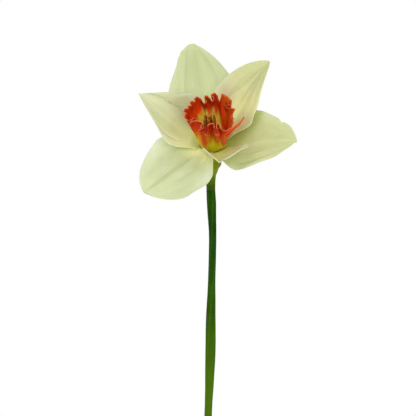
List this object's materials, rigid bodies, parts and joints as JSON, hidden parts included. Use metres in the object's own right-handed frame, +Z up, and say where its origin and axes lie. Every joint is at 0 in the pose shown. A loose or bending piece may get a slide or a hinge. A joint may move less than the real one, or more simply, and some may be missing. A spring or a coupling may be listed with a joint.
{
  "type": "potted daffodil",
  "caption": "Flowering bulb plant in a round clay pot: strap leaves, a tall bare stem and a pale bloom with an orange frilled cup.",
  "frame": {"origin": "middle of the pot's foot, on the surface that the pot stands on", "axes": "+Z up, -Y the way the bloom faces, +X to the right when the bloom is seen from the front"},
  "size_m": [0.1583, 0.11, 0.4064],
  "materials": {
    "clay": "unglazed, matte",
    "compost": "loose, matte",
    "bulb_skin": "papery skin, satin",
    "leaf": "waxy, satin",
    "stem": "waxy, satin",
    "neck": "smooth, satin",
    "bract": "dry, matte",
    "tepal": "petal, soft satin",
    "corona": "petal, soft satin",
    "stamens": "powdery, matte"
  },
  "bodies": {
    "root": {"pot": "clay", "soil": "compost", "bulb": "bulb_skin", "leaf_1": "leaf", "leaf_2": "leaf", "leaf_3": "leaf", "leaf_4": "leaf", "leaf_5": "leaf", "scape": "stem", "flower_neck": "neck", "spathe": "bract", "tepal_top": "tepal", "tepal_right": "tepal", "tepal_lower_left": "tepal", "tepal_upper_right": "tepal", "tepal_left": "tepal", "tepal_front": "tepal", "corona": "corona", "stamens_and_style": "stamens"}
  },
  "joints": []
}
